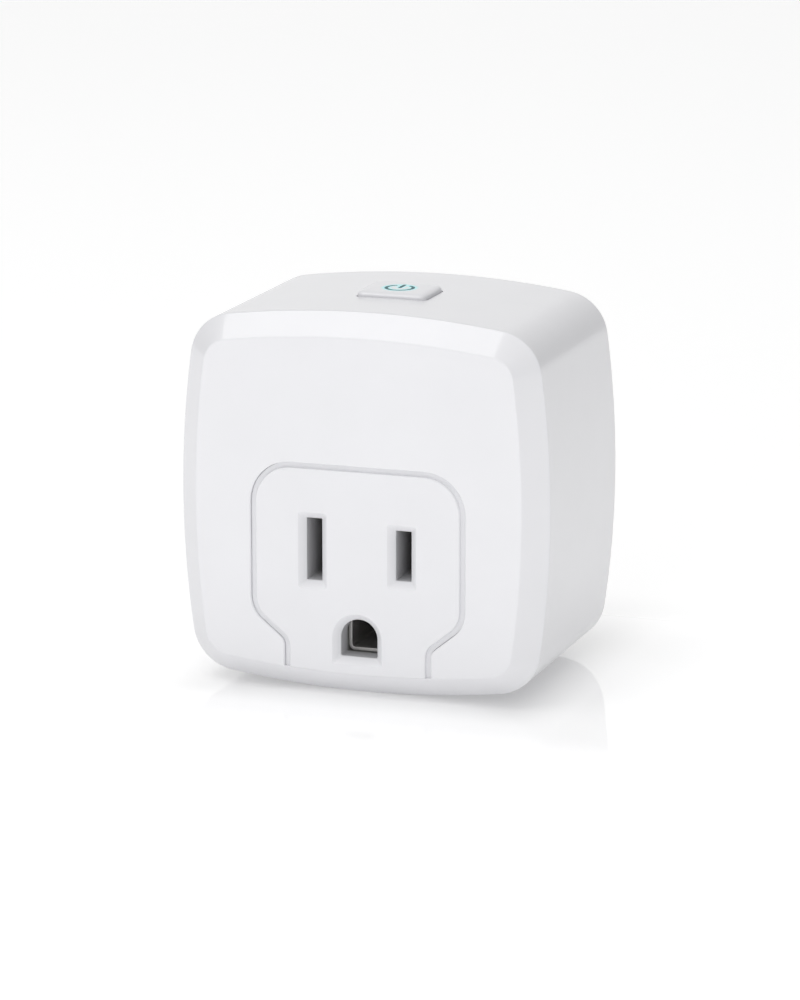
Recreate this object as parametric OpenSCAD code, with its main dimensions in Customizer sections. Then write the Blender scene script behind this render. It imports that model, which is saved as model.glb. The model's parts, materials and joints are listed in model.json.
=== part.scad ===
// Compact smart plug for a 15 A three-pin wall outlet.
// X runs across the plug, Y runs back to the wall and Z runs up. The origin is
// the middle of the rear face, where the plug meets the wall plate.

/* [Body] */
// Width and height of the body across the middle of its bowed sides
body_size = 52.4; // [52:0.1:56]
// Depth from the wall to the front face
body_depth = 33.9; // [33:0.1:36]
// How far each side bows out between its corners
side_bulge = 2.5; // [2:0.1:2.8]
// Radius of the four corners
corner_radius = 6.5; // [6:0.1:7.5]
// Width and depth of the bevel round the front face
face_bevel = 3.1; // [2.6:0.1:3.2]
// Thickness of the housing's side walls
wall = 2; // [1.8:0.1:2.1]
// Thickness of the housing's front wall
front_wall = 2.2; // [2:0.1:2.4]
// Thickness of the rear cover
cover_t = 2.2; // [2:0.1:2.4]
// Width of the small bevel round the rear edge
rear_bevel = 0.5; // [0.3:0.1:0.8]

/* [Outlet] */
// Height of the blade slots' centre below the middle of the body
slot_drop = 6.3; // [6:0.1:6.5]
// Distance between the two slots
slot_spacing = 12.7; // [12.7]
// Distance from the slots' centre down to the ground hole
ground_drop = 11.9; // [11.9]
// Width of each slot
slot_w = 2.2; // [1.9:0.1:2.4]
// Length of the neutral slot, on the left from the front
neutral_slot = 8.6; // [8.2:0.1:8.9]
// Length of the hot slot, on the right from the front
hot_slot = 6.9; // [6.7:0.1:7.2]
// Radius of the ground hole's round top
ground_hole_r = 2.6; // [2.5:0.05:2.7]
// Width and depth of the lead-in bevel round each hole
mouth_bevel = 0.95; // [0.6:0.05:1]
// Width of the panel round the outlet
pad_w = 29; // [28:0.1:30]
// Height of the panel's top edge above the middle of the body
pad_top = 4.9; // [4.5:0.1:5.5]
// Radius of the panel's top corners
pad_corner = 5; // [4:0.1:6]
// Width of the panel's neck, which runs down to the bevel
neck_w = 19.4; // [19:0.1:20]
// Width of the groove round the panel
groove_w = 0.75; // [0.5:0.05:0.9]
// Depth of the groove round the panel
groove_depth = 0.5; // [0.5:0.05:0.9]

/* [Plug prongs] */
// Length of the two flat blades beyond the rear face
blade_length = 17.5; // [15.9:0.1:18.3]
// Thickness of each blade
blade_t = 1.5; // [1.4:0.05:1.6]
// Width of the hot blade
hot_blade_w = 6.35; // [6.1:0.05:6.6]
// Width of the neutral blade
neutral_blade_w = 7.9; // [7.7:0.05:8]
// Radius of the ground pin
ground_pin_r = 2.4; // [2.3:0.05:2.4]
// Length of the ground pin beyond the rear face
ground_pin_length = 20.6; // [19:0.1:21.4]

/* [Button] */
// Width of the button, across the body
button_w = 9.8; // [9:0.1:10]
// Length of the button, along the body's depth
button_l = 8.2; // [8:0.1:8.6]
// Distance from the front face to the middle of the button
button_setback = 17.7; // [17.4:0.1:18]
// How far the button stands above the top
button_rise = 0.7; // [0.65:0.05:1]
// How far the button travels down
button_travel = 0.5; // [0.3:0.05:0.5]
// Gap round the button
button_gap = 0.18; // [0.15:0.01:0.25]
// Diameter of the power mark
icon_size = 4.2; // [3.4:0.1:4.4]
// Width of the power mark's lines
icon_line = 0.5; // [0.35:0.01:0.55]

/* [Electronics] */
// Thickness of the main board
board_t = 1.2; // [1:0.1:1.6]
// Length of the relay
relay_l = 18.4; // [17:0.1:18.5]
// Width of the relay
relay_w = 10.2; // [9:0.1:10.3]
// Height of the relay above the board
relay_h = 15.3; // [12:0.1:15.6]
// Diameter of the bulk capacitors
bulk_cap_d = 6.3; // [5:0.1:6.3]
// Diameter of the varistor
varistor_d = 9; // [7:0.1:9]

/* [Hidden] */

$fn = 48;
arc_fn = 360;
TURNS = [0, 90, 180, 270];
SIDES = [-1, 1];
CORNERS = [[-1, -1], [1, -1], [-1, 1], [1, 1]];
// How far a cut runs past a face, and how far two joined solids run into each other
over = 1;
lap = 0.1;
join = 0.01;
// Clearances between pieces, from the tightest to the loosest
snug = 0.05;
seam = 0.12;
easy = 0.15;
loose = 0.2;

// The body's outline: four wide arcs, each joined to the next by a corner arc
half = body_size / 2;
arc_r = (half * half + side_bulge * side_bulge) / (2 * side_bulge);
arc_c = arc_r - half;
corner_c = (sqrt(2 * pow(arc_r - corner_radius, 2) - arc_c * arc_c) - arc_c) / 2;
corner_at = [corner_c, corner_c];
corner_dir = [corner_c + arc_c, corner_c] / (arc_r - corner_radius);
wedge_reach = 2 * corner_radius;

// Planes across the depth, from the front to the wall
face_y = -body_depth;
cavity_y = face_y + front_wall;
groove_y = face_y + groove_depth;
flange_t = 1.2;
insert_back = cavity_y + flange_t;
inner_bevel = 2.2;

// The outlet
slot_x = slot_spacing / 2;
slot_z = -slot_drop;
ground_z = slot_z - ground_drop;
ground_floor_z = ground_z - ground_hole_r;
mouth_y = face_y + mouth_bevel;
collar_wall = 0.8;
collar_back = face_y + 8.2;
flange_lap = 1.3;
shoulder_r = 3.6;
shoulder_angle = 51;
shoulder_z = -13.2;
neck_fillet = 2.3;
slope_z = shoulder_z - shoulder_r * sin(shoulder_angle);
slope_x = pad_w / 2 - shoulder_r + shoulder_r * cos(shoulder_angle);
neck_slope_x = neck_w / 2 + neck_fillet * (1 - cos(shoulder_angle));
neck_slope_z = slope_z - (slope_x - neck_slope_x) / tan(shoulder_angle);
neck_z = neck_slope_z - neck_fillet * sin(shoulder_angle);

// The moulding that holds the spring contacts
carrier_w = 22.8;
carrier_front = insert_back + 0.1;
carrier_back = -13;
carrier_top = 0.6;
carrier_bottom = -22.2;
leaf_t = 0.4;
leaf_gap = 1.1;
leaf_flare = 0.9;
leaf_heel = 2;
contact_front = collar_back + 0.2;
contact_back = carrier_back - 0.1;
leaf_pinch_y = contact_front + 3;
leaf_root_x = slot_w / 2 + collar_wall;
retainer_t = 0.8;
ground_box_w = 5.2;
ground_box_t = 0.47;
ground_box_r = 0.9;
ground_contact_front = face_y + 4;
post_x = 13.6;
post_z = 0.4;
post_r = 1.9;
ear_back = -17;
ear_t = 1.5;

// Screws, and the bosses that take them
boss_at = 18.9;
boss_r = 2.7;
boss_web = 2.4;
boss_front = -22;
cover_screw_r = 1.1;
cover_screw_head_r = 2;
cover_screw_head_t = 1.1;
cover_screw_l = 9;
cover_screw_sink = 0.2;
small_screw_r = 0.8;
small_screw_head_r = 1.5;
small_screw_head_t = 0.9;
carrier_screw_l = 7;
board_screw_l = 4;
hex_key = 0.75;

// The boards
board_back = -7;
board_front = board_back - board_t;
board_x = 21;
board_top = 15.4;
board_low = -13.4;
standoff_r = 2;
standoff_at = [[-16.8, -10.6], [16.8, -10.6], [16.2, 12.4]];
foot_t = 1;
foot_lap = 1;
ground_shank_r = 1.9;
pin_relief = 0.25;
tab_w = 4;
tab_end = board_front - 0.9;
strap_t = 0.8;
ground_strap_w = 4;
ground_strap_drop = 1;

// The button and the switch below it
button_y = face_y + button_setback;
button_top = half + button_rise;
button_corner = 1;
button_edge = 0.35;
cap_skin = 1.1;
cap_wall = 1;
cap_flange = 0.8;
cap_flange_t = 0.7;
cap_flange_top = half - wall - 0.5;
switch_board_t = 1;
switch_board_top = 17.4;
switch_board_w = 14;
switch_board_l = 10;
switch_w = 6;
switch_h = 2.9;
plunger_r = 1.5;
plunger_gap = 0.08;
plunger_top = switch_board_top + switch_h + 0.9;
switch_floor = 0.5;
switch_roof = 0.5;
dome_r = 2;
dome_h = 0.75;
dome_t = 0.12;
dome_base = switch_board_top + switch_floor + 0.02;
plunger_foot = dome_base + dome_h + 0.03;
plunger_shoulder = switch_board_top + switch_h - switch_roof - 0.07;
guide_gap = 0.1;
icon_depth = 0.3;
led_x = 3.75;
led_base_t = 0.4;
led_lens_t = 0.35;
rib_x = 8.2;
rib_t = 1.2;
rib_l = 11;
ledge_t = 1;
ledge_reach = 1.2;

// The radio module, which stands on the main board
wifi_x = 11.4;
wifi_t = 0.8;
wifi_back = board_front - 0.6;
wifi_l = 17.5;
wifi_low = 11.4;
wifi_top = 22.6;

// ---------------------------------------------------------------- helpers

module box(low, high) {
    translate(low) cube(high - low);
}

// A flat shape in X and Z, drawn out along the depth
module depth_prism(front, back) {
    translate([0, back, 0]) rotate([90, 0, 0]) linear_extrude(back - front) children();
}

// A round bar along the depth
module depth_rod(r, at, front, back) {
    translate([at[0], back, at[1]]) rotate([90, 0, 0]) cylinder(r = r, h = back - front);
}

module rounded_rect(w, l, r) {
    square([w - 2 * r, l], center = true);
    square([w, l - 2 * r], center = true);
    for (c = CORNERS) translate([c[0] * (w / 2 - r), c[1] * (l / 2 - r)]) circle(r = r);
}

// A block over [x, z] whose four sides slope from one size to the other
module tapered_mouth(w_front, w_back, h_front, h_back, front, back) {
    intersection() {
        translate([0, 0, -h_front]) linear_extrude(2 * h_front)
            polygon([
                [-w_front / 2, front], [w_front / 2, front], [w_back / 2, back], [-w_back / 2, back]
            ]);
        translate([-w_front, 0, 0]) rotate([90, 0, 90]) linear_extrude(2 * w_front)
            polygon([
                [front, -h_front / 2], [front, h_front / 2], [back, h_back / 2], [back, -h_back / 2]
            ]);
    }
}

// ---------------------------------------------------------------- body shape

module corner_wedge() {
    polygon([
        corner_at,
        corner_at + wedge_reach * corner_dir,
        [half + corner_radius, half + corner_radius],
        corner_at + wedge_reach * [corner_dir[1], corner_dir[0]]
    ]);
}

module body_outline(inset = 0) {
    difference() {
        intersection_for (turn = TURNS) {
            rotate(turn) translate([-arc_c, 0]) circle(r = arc_r - inset, $fn = arc_fn);
        }
        for (turn = TURNS) rotate(turn) corner_wedge();
    }
    for (turn = TURNS) {
        rotate(turn) translate(corner_at) circle(r = corner_radius - inset, $fn = arc_fn / 4);
    }
}

// The outline drawn out along the depth, with its inset changing from front to back
module body_taper(front, back, front_inset, back_inset) {
    length = back - front;
    translate([0, back, 0]) rotate([90, 0, 0]) {
        difference() {
            intersection_for (turn = TURNS) {
                rotate(turn) translate([-arc_c, 0, 0])
                    cylinder(h = length, r1 = arc_r - back_inset, r2 = arc_r - front_inset, $fn = arc_fn);
            }
            for (turn = TURNS) {
                rotate(turn) translate([0, 0, -over]) linear_extrude(length + 2 * over) corner_wedge();
            }
        }
        for (turn = TURNS) {
            rotate(turn) translate(corner_at)
                cylinder(
                    h = length,
                    r1 = corner_radius - back_inset,
                    r2 = corner_radius - front_inset,
                    $fn = arc_fn / 4
                );
        }
    }
}

module body_solid() {
    body_taper(face_y, face_y + face_bevel, face_bevel, 0);
    depth_prism(face_y + face_bevel, -rear_bevel) body_outline();
    body_taper(-rear_bevel, 0, 0, rear_bevel);
}

module body_cavity() {
    body_taper(cavity_y, cavity_y + inner_bevel, wall + inner_bevel, wall);
    depth_prism(cavity_y + inner_bevel, over) body_outline(wall);
}

// ---------------------------------------------------------------- outlet panel shape

module pad_outline(grow = 0) {
    w = pad_w / 2 + grow;
    corner = pad_corner + grow;
    difference() {
        union() {
            translate([-w, shoulder_z]) square([2 * w, pad_top + grow - corner - shoulder_z]);
            translate([-w + corner, shoulder_z]) square([2 * (w - corner), pad_top + grow - shoulder_z]);
            for (s = SIDES) {
                translate([s * (w - corner), pad_top + grow - corner]) circle(r = corner);
                translate([s * (pad_w / 2 - shoulder_r), shoulder_z]) circle(r = shoulder_r + grow);
            }
            polygon([
                for (s = SIDES, p = s < 0 ? shoulder_points(grow) : reversed(shoulder_points(grow)))
                    [s * p[0], p[1]]
            ]);
            translate([-neck_w / 2 - grow, -half]) square([neck_w + 2 * grow, half + shoulder_z]);
        }
        for (s = SIDES) translate([s * (neck_w / 2 + neck_fillet), neck_z]) circle(r = neck_fillet - grow);
    }
}

// Down one side: the shoulder's end, the straight slope and the fillet's centre
function shoulder_points(grow) = [
    [pad_w / 2 - shoulder_r, shoulder_z],
    [slope_x + grow * cos(shoulder_angle), slope_z - grow * sin(shoulder_angle)],
    [neck_slope_x + grow * cos(shoulder_angle), neck_slope_z - grow * sin(shoulder_angle)],
    [neck_w / 2 + neck_fillet, neck_z]
];

function reversed(list) = [for (i = [len(list) - 1:-1:0]) list[i]];

// The same shape, ending below at the bevel's inner line
module pad_shape(grow = 0, inset = 0) {
    intersection() {
        pad_outline(grow);
        body_outline(inset);
    }
}

module slot_hole(x, length) {
    translate([x, 0, slot_z]) {
        box([-slot_w / 2, face_y - over, -length / 2], [slot_w / 2, collar_back + over, length / 2]);
        lead_in(slot_w, length);
    }
}

// A bevel all round a rectangular hole, carried on past the face
module lead_in(w, h) {
    grow = 4 * mouth_bevel;
    tapered_mouth(w + grow, w, h + grow, h, face_y - mouth_bevel, mouth_y);
}

// Round above and flat below, with the same bevel
module ground_hole(back) {
    depth_rod(ground_hole_r, [0, ground_z], face_y - over, back);
    box([-ground_hole_r, face_y - over, ground_floor_z], [ground_hole_r, back, ground_z]);
    translate([0, mouth_y, ground_z]) rotate([90, 0, 0])
        cylinder(h = 2 * mouth_bevel, r1 = ground_hole_r, r2 = ground_hole_r + 2 * mouth_bevel);
    difference() {
        translate([0, 0, ground_z]) lead_in(2 * ground_hole_r, 2 * ground_hole_r);
        box([-half, face_y - 2 * over, ground_z], [half, mouth_y + over, half]);
    }
}

// ---------------------------------------------------------------- casing

module button_hole(gap) {
    translate([0, button_y, half - 2 * wall]) linear_extrude(4 * wall)
        rounded_rect(button_w + 2 * gap, button_l + 2 * gap, button_corner + gap);
}

module switch_rib(side) {
    low_z = switch_board_top - switch_board_t - ledge_t - seam;
    box(
        [side * rib_x - rib_t / 2, button_y - rib_l / 2, low_z],
        [side * rib_x + rib_t / 2, button_y + rib_l / 2, half - wall / 2]
    );
    ledge_x = [side * rib_x, side * (rib_x - rib_t / 2 - ledge_reach)];
    box(
        [min(ledge_x), button_y - rib_l / 2, low_z],
        [max(ledge_x), button_y + rib_l / 2, low_z + ledge_t]
    );
}

// A round boss in each corner, with a web that ties it to the wall
module corner_bosses() {
    for (turn = TURNS) {
        rotate(turn) translate([boss_at, boss_at]) circle(r = boss_r);
        rotate(turn + 45) translate([norm([boss_at, boss_at]), -boss_web / 2]) square([half, boss_web]);
    }
}

module front_housing() {
    color("white") difference() {
        union() {
            difference() {
                body_solid();
                body_cavity();
            }
            intersection() {
                union() {
                    depth_prism(boss_front, -cover_t) corner_bosses();
                    for (s = SIDES) switch_rib(s);
                }
                depth_prism(cavity_y, -cover_t) body_outline(wall / 2);
            }
        }
        depth_prism(face_y - over, cavity_y + over) pad_shape(groove_w, face_bevel);
        button_hole(button_gap);
        for (c = CORNERS) {
            depth_rod(cover_screw_r + snug, boss_at * c, -cover_screw_l - over, over);
        }
    }
}

// A thin wall that carries a slot on behind the panel, to the contact
module collar(x, length) {
    box(
        [x - slot_w / 2 - collar_wall, insert_back - snug, slot_z - length / 2 - collar_wall],
        [x + slot_w / 2 + collar_wall, collar_back, slot_z + length / 2 + collar_wall]
    );
}

module outlet_insert() {
    color("white") difference() {
        union() {
            collar(-slot_x, neutral_slot);
            collar(slot_x, hot_slot);
            depth_prism(face_y, groove_y) pad_shape(0, face_bevel + snug);
            depth_prism(groove_y, cavity_y + seam) pad_shape(groove_w - snug, face_bevel + snug);
            depth_prism(cavity_y + seam, insert_back)
                pad_shape(groove_w + flange_lap, wall + inner_bevel + snug);
            for (s = SIDES) {
                depth_rod(post_r, [s * post_x, post_z], insert_back - snug, ear_back - ear_t - seam);
            }
        }
        slot_hole(-slot_x, neutral_slot);
        slot_hole(slot_x, hot_slot);
        ground_hole(insert_back + over);
        for (s = SIDES) {
            depth_rod(
                small_screw_r + snug, [s * post_x, post_z],
                ear_back - ear_t - carrier_screw_l, ear_back
            );
        }
    }
}

module prong_slots(gap) {
    for (blade = [[-slot_x, neutral_blade_w], [slot_x, hot_blade_w]]) {
        box(
            [blade[0] - blade_t / 2 - gap, -cover_t - over, slot_z - blade[1] / 2 - gap],
            [blade[0] + blade_t / 2 + gap, over, slot_z + blade[1] / 2 + gap]
        );
    }
    depth_rod(ground_shank_r + gap, [0, ground_z], -cover_t - over, over);
}

module rear_cover() {
    label = [26, 12];
    label_corner = 1.5;
    label_z = 12;
    label_depth = 0.3;
    color("white") difference() {
        union() {
            depth_prism(-cover_t, 0) body_outline(wall + seam);
            for (at = standoff_at) depth_rod(standoff_r, at, board_back, -cover_t + snug);
        }
        prong_slots(snug);
        depth_rod(ground_pin_r + snug, [0, ground_z], -pin_relief, over);
        for (at = standoff_at) depth_rod(small_screw_r + snug, at, board_back - over, -cover_t);
        for (c = CORNERS) {
            depth_rod(cover_screw_r + loose, boss_at * c, -cover_t - over, over);
            depth_rod(
                cover_screw_head_r + easy + loose - snug, boss_at * c,
                -cover_screw_head_t - cover_screw_sink, over
            );
        }
        translate([0, 0, label_z])
            depth_prism(-label_depth, over) rounded_rect(label[0], label[1], label_corner);
    }
}

// A pan-head screw along the depth, its head towards the wall when turn is 0
module screw(at, head_y, r, head_r, head_t, length, turn = 0) {
    translate([at[0], head_y, at[1]]) rotate([90 + turn, 0, 0]) difference() {
        union() {
            cylinder(r = head_r, h = head_t);
            translate([0, 0, head_t - join]) cylinder(r = r, h = length - r);
            translate([0, 0, head_t + length - r - join]) cylinder(r1 = r, r2 = r / 4, h = r);
        }
        translate([0, 0, -over]) cylinder(r = hex_key * head_r / 2, h = over + head_t / 2, $fn = 6);
    }
}

module cover_screws() {
    color("silver") for (c = CORNERS) {
        screw(
            boss_at * c, -cover_screw_sink, cover_screw_r, cover_screw_head_r, cover_screw_head_t,
            cover_screw_l - cover_screw_head_t
        );
    }
}

// ---------------------------------------------------------------- prongs

module flat_blade(x, width) {
    tip = 1.2;
    hole_r = 1.6;
    hole_y = 11.7;
    color("silver") translate([x, 0, slot_z]) difference() {
        union() {
            tapered_mouth(
                blade_t, blade_t / 3, width, width - 2 * tip,
                blade_length - tip, blade_length
            );
            box([-blade_t / 2, -cover_t - foot_t, -width / 2], [blade_t / 2, blade_length - tip, width / 2]);
            box(
                [-blade_t / 2 - foot_lap, -cover_t - foot_t, -width / 2 - foot_lap / 2],
                [blade_t / 2 + foot_lap, -cover_t - snug, width / 2 + foot_lap / 2]
            );
            box([-blade_t / 2, tab_end, -tab_w / 2], [blade_t / 2, -cover_t, tab_w / 2]);
        }
        translate([-blade_t, hole_y, 0]) rotate([0, 90, 0]) cylinder(r = hole_r, h = 2 * blade_t);
    }
}

module hot_blade() {
    flat_blade(slot_x, hot_blade_w);
}

module neutral_blade() {
    flat_blade(-slot_x, neutral_blade_w);
}

// A round prong on a thinner shank, which is riveted over behind the cover
module ground_pin() {
    color("silver") {
        depth_rod(ground_pin_r, [0, ground_z], 0, ground_pin_length - ground_pin_r);
        depth_rod(ground_shank_r, [0, ground_z], -cover_t - foot_t, lap);
        intersection() {
            translate([0, ground_pin_length - ground_pin_r, ground_z]) sphere(r = ground_pin_r);
            box(
                [-half, ground_pin_length - ground_pin_r, -half],
                [half, ground_pin_length + over, half]
            );
        }
        depth_rod(ground_shank_r + foot_lap, [0, ground_z], -cover_t - foot_t, -cover_t - snug);
    }
}

// ---------------------------------------------------------------- contacts

// Holds the collar in front and the contact behind it
module contact_bay(x, length) {
    w = slot_w / 2 + collar_wall + easy;
    h = length / 2 + collar_wall + easy;
    box([x - w, carrier_front - over, slot_z - h], [x + w, carrier_back + over, slot_z + h]);
}

module contact_carrier() {
    bay = ground_box_w / 2 + easy;
    color("gainsboro") difference() {
        union() {
            box([-carrier_w / 2, carrier_front, carrier_bottom], [carrier_w / 2, carrier_back, carrier_top]);
            for (s = SIDES) {
                translate([0, 0, post_z]) box(
                    [min(s * carrier_w / 2 - s, s * post_x), ear_back - ear_t, -post_r],
                    [max(s * carrier_w / 2 - s, s * post_x), ear_back, post_r]
                );
                depth_rod(post_r, [s * post_x, post_z], ear_back - ear_t, ear_back);
            }
        }
        contact_bay(-slot_x, neutral_slot);
        contact_bay(slot_x, hot_slot);
        box([-bay, carrier_front - over, ground_z - bay], [bay, carrier_back + over, ground_z + bay]);
        for (s = SIDES) {
            depth_rod(small_screw_r + easy, [s * post_x, post_z], ear_back - 2 * ear_t, ear_back + over);
            depth_rod(
                post_r + seam, [s * post_x, post_z], carrier_front - over, ear_back - ear_t
            );
        }
    }
}

// The plate that closes the bays behind the contacts, with a slit for each conductor
module contact_retainer() {
    color("gainsboro") difference() {
        box(
            [-carrier_w / 2, carrier_back, carrier_bottom],
            [carrier_w / 2, carrier_back + retainer_t, carrier_top]
        );
        for (x = SIDES * slot_x) {
            box(
                [x - strap_t, carrier_back - over, slot_z - tab_w / 2 - loose],
                [x + strap_t, carrier_back + over, slot_z + tab_w / 2 + loose]
            );
        }
        box(
            [-ground_strap_w / 2 - loose, carrier_back - over, ground_z - ground_strap_drop - loose],
            [ground_strap_w / 2 + loose, carrier_back + over, ground_z]
        );
    }
}

module carrier_screws() {
    color("silver") for (s = SIDES) {
        screw(
            [s * post_x, post_z], ear_back + small_screw_head_t,
            small_screw_r, small_screw_head_r, small_screw_head_t, carrier_screw_l
        );
    }
}

// Down the right leaf's outside, or its inside, from the mouth to the root
function leaf_side(inner) = [
    [leaf_flare + leaf_t - inner, contact_front],
    [leaf_gap / 2 + leaf_t - inner, leaf_pinch_y],
    [leaf_root_x - inner, contact_back - leaf_heel],
    [leaf_root_x - inner, contact_back - inner]
];

// Two leaves that pinch the blade, joined at the back
module leaf_pair(x, length) {
    h = length - 3 * loose;
    color("goldenrod") translate([x, 0, slot_z - h / 2]) linear_extrude(h) polygon([
        for (p = leaf_side(0)) p,
        for (p = reversed(leaf_side(0))) [-p[0], p[1]],
        for (p = leaf_side(leaf_t)) [-p[0], p[1]],
        for (p = reversed(leaf_side(leaf_t))) p
    ]);
}

module hot_contact() {
    leaf_pair(slot_x, hot_slot);
}

module neutral_contact() {
    leaf_pair(-slot_x, neutral_slot);
}

// A box that is open in front, split along its top
module ground_contact() {
    split_w = 0.5;
    heel = 2;
    color("silver") difference() {
        translate([0, 0, ground_z])
            depth_prism(ground_contact_front, contact_back)
                rounded_rect(ground_box_w, ground_box_w, ground_box_r);
        translate([0, 0, ground_z])
            depth_prism(ground_contact_front - over, contact_back - ground_box_t)
                rounded_rect(
                    ground_box_w - 2 * ground_box_t, ground_box_w - 2 * ground_box_t,
                    ground_box_r - ground_box_t
                );
        box(
            [-split_w / 2, ground_contact_front - over, ground_z],
            [split_w / 2, contact_back - heel, ground_z + ground_box_w]
        );
    }
}

module ground_strap() {
    color("goldenrod")
        box(
            [-ground_strap_w / 2, contact_back, ground_z - ground_strap_drop],
            [ground_strap_w / 2, -cover_t - foot_t, ground_z - ground_strap_drop + strap_t]
        );
}

module neutral_strap() {
    color("goldenrod") box(
        [-slot_x - strap_t / 2, contact_back, slot_z - tab_w / 2],
        [-slot_x + strap_t / 2, tab_end, slot_z + tab_w / 2]
    );
}

// The relay's output, across the board and into the hot contact
module hot_lead() {
    r = 0.7;
    start_x = -slot_x + 1;
    run_y = contact_back + 2;
    run_z = 2.2;
    end_z = slot_z + 1;
    points = [
        [start_x, board_front, run_z],
        [start_x, run_y, run_z],
        [slot_x, run_y, run_z],
        [slot_x, run_y, end_z],
        [slot_x, contact_back, end_z]
    ];
    color("firebrick") {
        for (i = [0:len(points) - 2]) wire(points[i], points[i + 1], r);
        for (i = [1:len(points) - 2]) translate(points[i]) sphere(r = r);
    }
}

module wire(from, to, r) {
    run = to - from;
    length = norm(run);
    translate(from) rotate([0, acos(run[2] / length), atan2(run[1], run[0])]) cylinder(r = r, h = length);
}

// ---------------------------------------------------------------- main board

module main_board() {
    color("darkgreen") difference() {
        box([-board_x, board_front, board_low], [board_x, board_back, board_top]);
        for (x = SIDES * slot_x) {
            box(
                [x - blade_t / 2 - snug, board_front - over, slot_z - tab_w / 2 - snug],
                [x + blade_t / 2 + snug, board_back + over, slot_z + tab_w / 2 + snug]
            );
        }
        for (at = standoff_at) depth_rod(small_screw_r + easy, at, board_front - over, board_back + over);
    }
}

module board_screws() {
    color("silver") for (at = standoff_at) {
        screw(
            at, board_front - small_screw_head_t,
            small_screw_r, small_screw_head_r, small_screw_head_t, board_screw_l, 180
        );
    }
}

module relay() {
    low = [-21.4, board_front - relay_h, 3.4];
    base_t = 0.6;
    rim = 0.4;
    color("steelblue") {
        box(low, low + [relay_l, relay_h - base_t, relay_w]);
        box(
            low + [rim, relay_h - base_t - lap, rim],
            low + [relay_l - rim, relay_h, relay_w - rim]
        );
    }
}

// A dipped block on two leads
module film_capacitor() {
    size = [5.4, 11, 10];
    stand = 0.5;
    lead_r = 0.35;
    lead_end = 1.2;
    low = [-21.4, board_front - stand - size[1], -7.4];
    color("gold") {
        box(low, low + size);
        for (z = [lead_end, size[2] - lead_end]) {
            lead = [low[0] + size[0] / 2, low[2] + z];
            depth_rod(lead_r, lead, board_front - stand - lap, board_front);
        }
    }
}

// A lacquered disc standing on two leads
module varistor() {
    disc_t = 3.6;
    stand = 1.2;
    lead_r = 0.3;
    lead_l = 3.4;
    lead_x = 0.8;
    lead_z = 14.8;
    at = [-12.6, board_front - stand - varistor_d / 2, 18.6];
    color("royalblue") {
        translate(at - [disc_t / 2, 0, 0]) rotate([0, 90, 0]) cylinder(r = varistor_d / 2, h = disc_t);
        for (s = SIDES) depth_rod(lead_r, [at[0] + s * lead_x, lead_z], board_front - lead_l, board_front);
    }
}

module fuse_resistor() {
    r = 1.7;
    length = 8;
    lead_r = 0.3;
    lead_end = 0.6;
    at = [13.2, board_front - 2.2, -9];
    color("seagreen") {
        translate(at) cylinder(r = r, h = length);
        for (z = [lead_end, length - lead_end]) {
            depth_rod(lead_r, [at[0], at[2] + z], at[1], board_front);
        }
    }
}

module bridge_rectifier() {
    low = [16.4, board_front - 1.6, -6.4];
    size = [4, 1.5, 4.8];
    tab = [2.4, 0.2, 0.6];
    tab_x = (size[0] - tab[0]) / 2;
    color("dimgray") {
        box(low, low + size);
        for (z = [0.2, 3.2]) {
            tab_low = low + [tab_x, size[1] - lap, z];
            box(tab_low, tab_low + tab);
        }
    }
}

// Two upright cans, each with a crimp above its foot
module bulk_capacitors() {
    r = bulk_cap_d / 2;
    length = 11;
    foot = 1;
    crimp = 0.3;
    z = 7.2;
    color("midnightblue") for (x = [1.6, 8.4]) {
        depth_rod(r, [x, z], board_front - length, board_front - foot - crimp - lap);
        depth_rod(r - crimp, [x, z], board_front - foot - crimp - 2 * lap, board_front - foot);
        depth_rod(r, [x, z], board_front - foot - lap, board_front);
    }
}

// A bobbin of fine wire between two flanges
module filter_choke() {
    at = [15.6, 7];
    flange_r = 2.9;
    core_r = 2.3;
    length = 8;
    rim_t = 1;
    color("saddlebrown") {
        depth_rod(flange_r, at, board_front - length, board_front - length + rim_t);
        depth_rod(core_r, at, board_front - length + rim_t - lap, board_front - rim_t + lap);
        depth_rod(flange_r, at, board_front - rim_t, board_front);
    }
}

// A flat chip with a row of legs down each side
module chip(low, size, legs) {
    leg_w = 0.4;
    leg_t = 0.5;
    leg_out = 0.9;
    box(low, low + size);
    for (i = [0:legs - 1], s = SIDES) {
        x = low[0] + size[0] * (i + 0.5) / legs;
        z = s < 0 ? low[2] - leg_out : low[2] + size[2] - snug;
        box([x - leg_w / 2, board_front - leg_t, z], [x + leg_w / 2, board_front, z + leg_out + snug]);
    }
}

module converter_chip() {
    color("dimgray") chip(low = [15.6, board_front - 1.6, -0.4], size = [4.9, 1.55, 2.4], legs = 4);
}

module output_capacitor() {
    at = [-0.6, 12.8];
    r = 2;
    length = 7;
    foot = 1.2;
    color("midnightblue") {
        depth_rod(r, at, board_front - length, board_front - foot);
        depth_rod(r - loose, at, board_front - foot - lap, board_front);
    }
}

module regulator_chip() {
    color("dimgray") chip(low = [4.4, board_front - 1.4, 12.2], size = [2.9, 1.35, 1.4], legs = 3);
}

// ---------------------------------------------------------------- radio module

module wifi_board() {
    color("darkblue") box(
        [wifi_x, wifi_back - wifi_l, wifi_low],
        [wifi_x + wifi_t, wifi_back, wifi_top]
    );
}

module header_pins() {
    pitch = 2;
    pin = 0.6;
    first = 0.8;
    reach = 1;
    color("gold") for (i = [0:1]) {
        z = wifi_low + first + i * pitch;
        box([wifi_x - pin, wifi_back - reach, z], [wifi_x, board_front, z + pin]);
    }
}

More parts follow.
